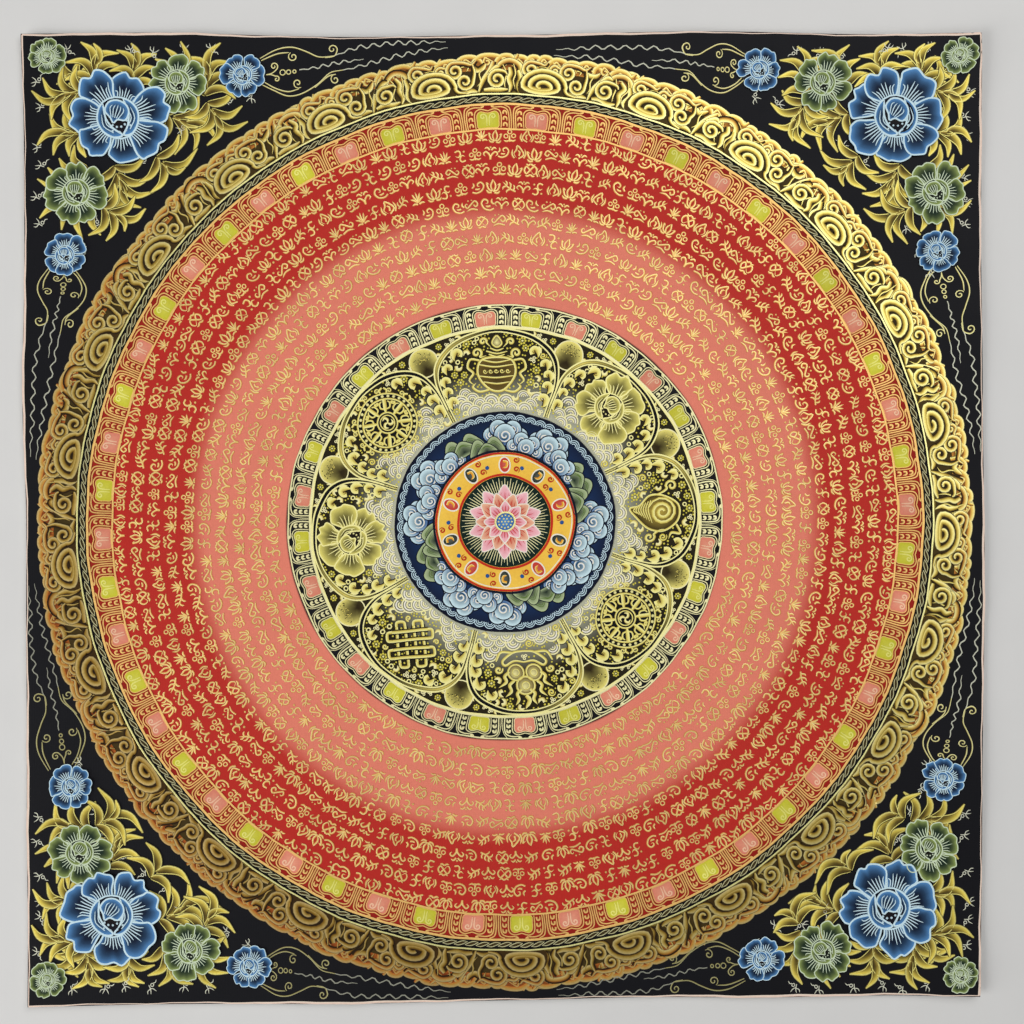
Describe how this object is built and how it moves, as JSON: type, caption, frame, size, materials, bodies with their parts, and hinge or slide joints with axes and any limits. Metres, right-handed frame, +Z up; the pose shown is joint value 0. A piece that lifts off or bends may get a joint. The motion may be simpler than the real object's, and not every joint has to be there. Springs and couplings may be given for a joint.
{
  "type": "painted mandala thangka canvas",
  "caption": "Square painted cotton canvas with a round mandala, unmounted, lying flat with low cockles along its cut edges.",
  "frame": {"origin": "under the middle of the sheet's box, on the surface that it lies on", "axes": "+Z up out of the painted face, +Y towards the picture's top edge, +X towards its right edge"},
  "size_m": [0.5036, 0.5098, 0.0052],
  "materials": {
    "painted_ground": "black distemper on primed cotton, satin",
    "cotton_support": "bare primed cotton, matt",
    "gold_paint": "burnished gold paint on cloth, semi-matt",
    "mineral_paint": "mineral distemper colours, matt"
  },
  "bodies": {
    "root": {"painted_canvas": "painted_ground"}
  },
  "joints": []
}
